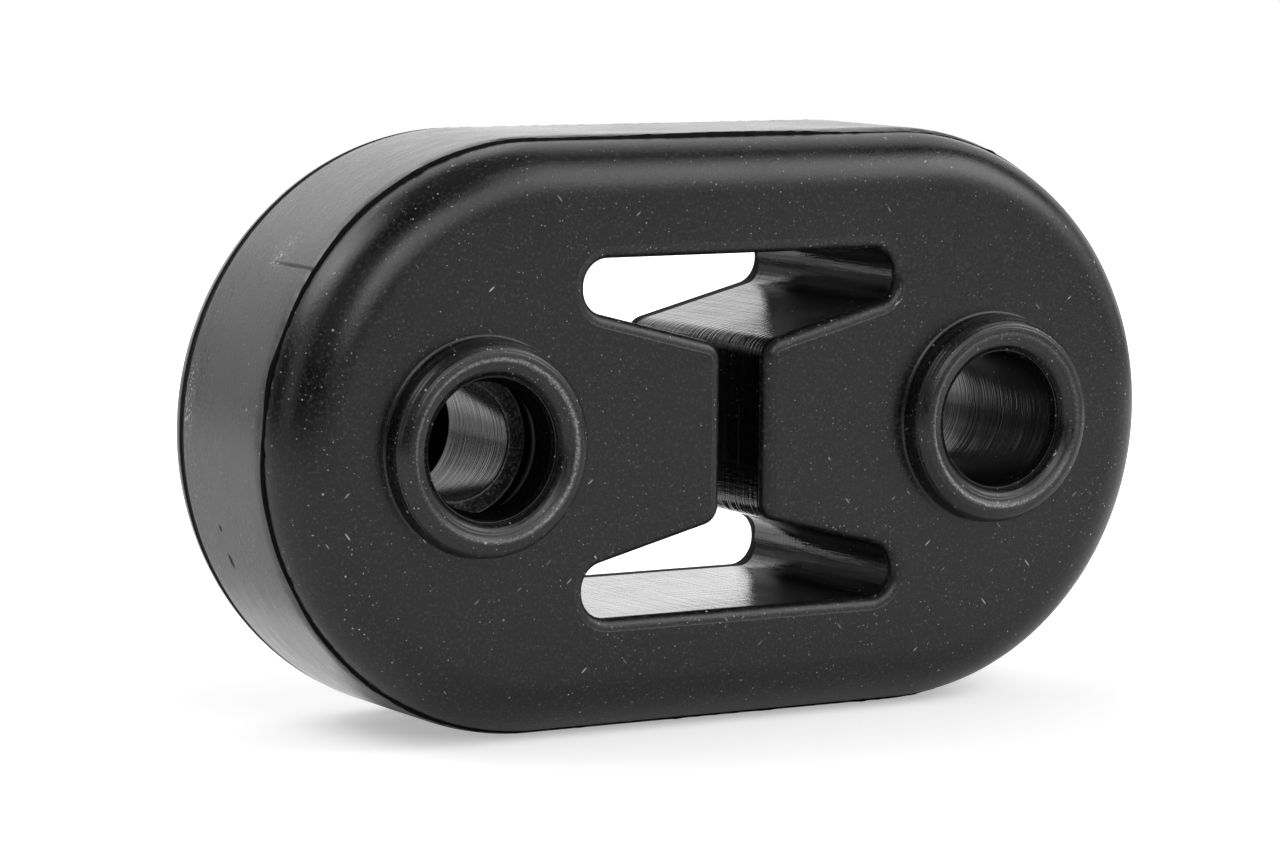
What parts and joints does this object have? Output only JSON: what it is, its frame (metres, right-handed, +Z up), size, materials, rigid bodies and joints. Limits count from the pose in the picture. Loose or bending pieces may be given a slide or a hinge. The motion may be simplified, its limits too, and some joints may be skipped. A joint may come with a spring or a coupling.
{
  "type": "exhaust hanger rubber",
  "caption": "Racetrack-shaped moulded rubber block that carries an exhaust: a rod bore in a raised ring near each end, and an opening between them with a tongue from each side.",
  "frame": {"origin": "centre of the lower flat that the part stands on", "axes": "+X along the length, from the stepped bore to the plain bore; +Z up; the front face in the picture looks along -Y"},
  "size_m": [0.086, 0.0292, 0.05],
  "materials": {
    "rubber": "satin"
  },
  "bodies": {
    "root": {"hanger_rubber": "rubber"}
  },
  "joints": []
}
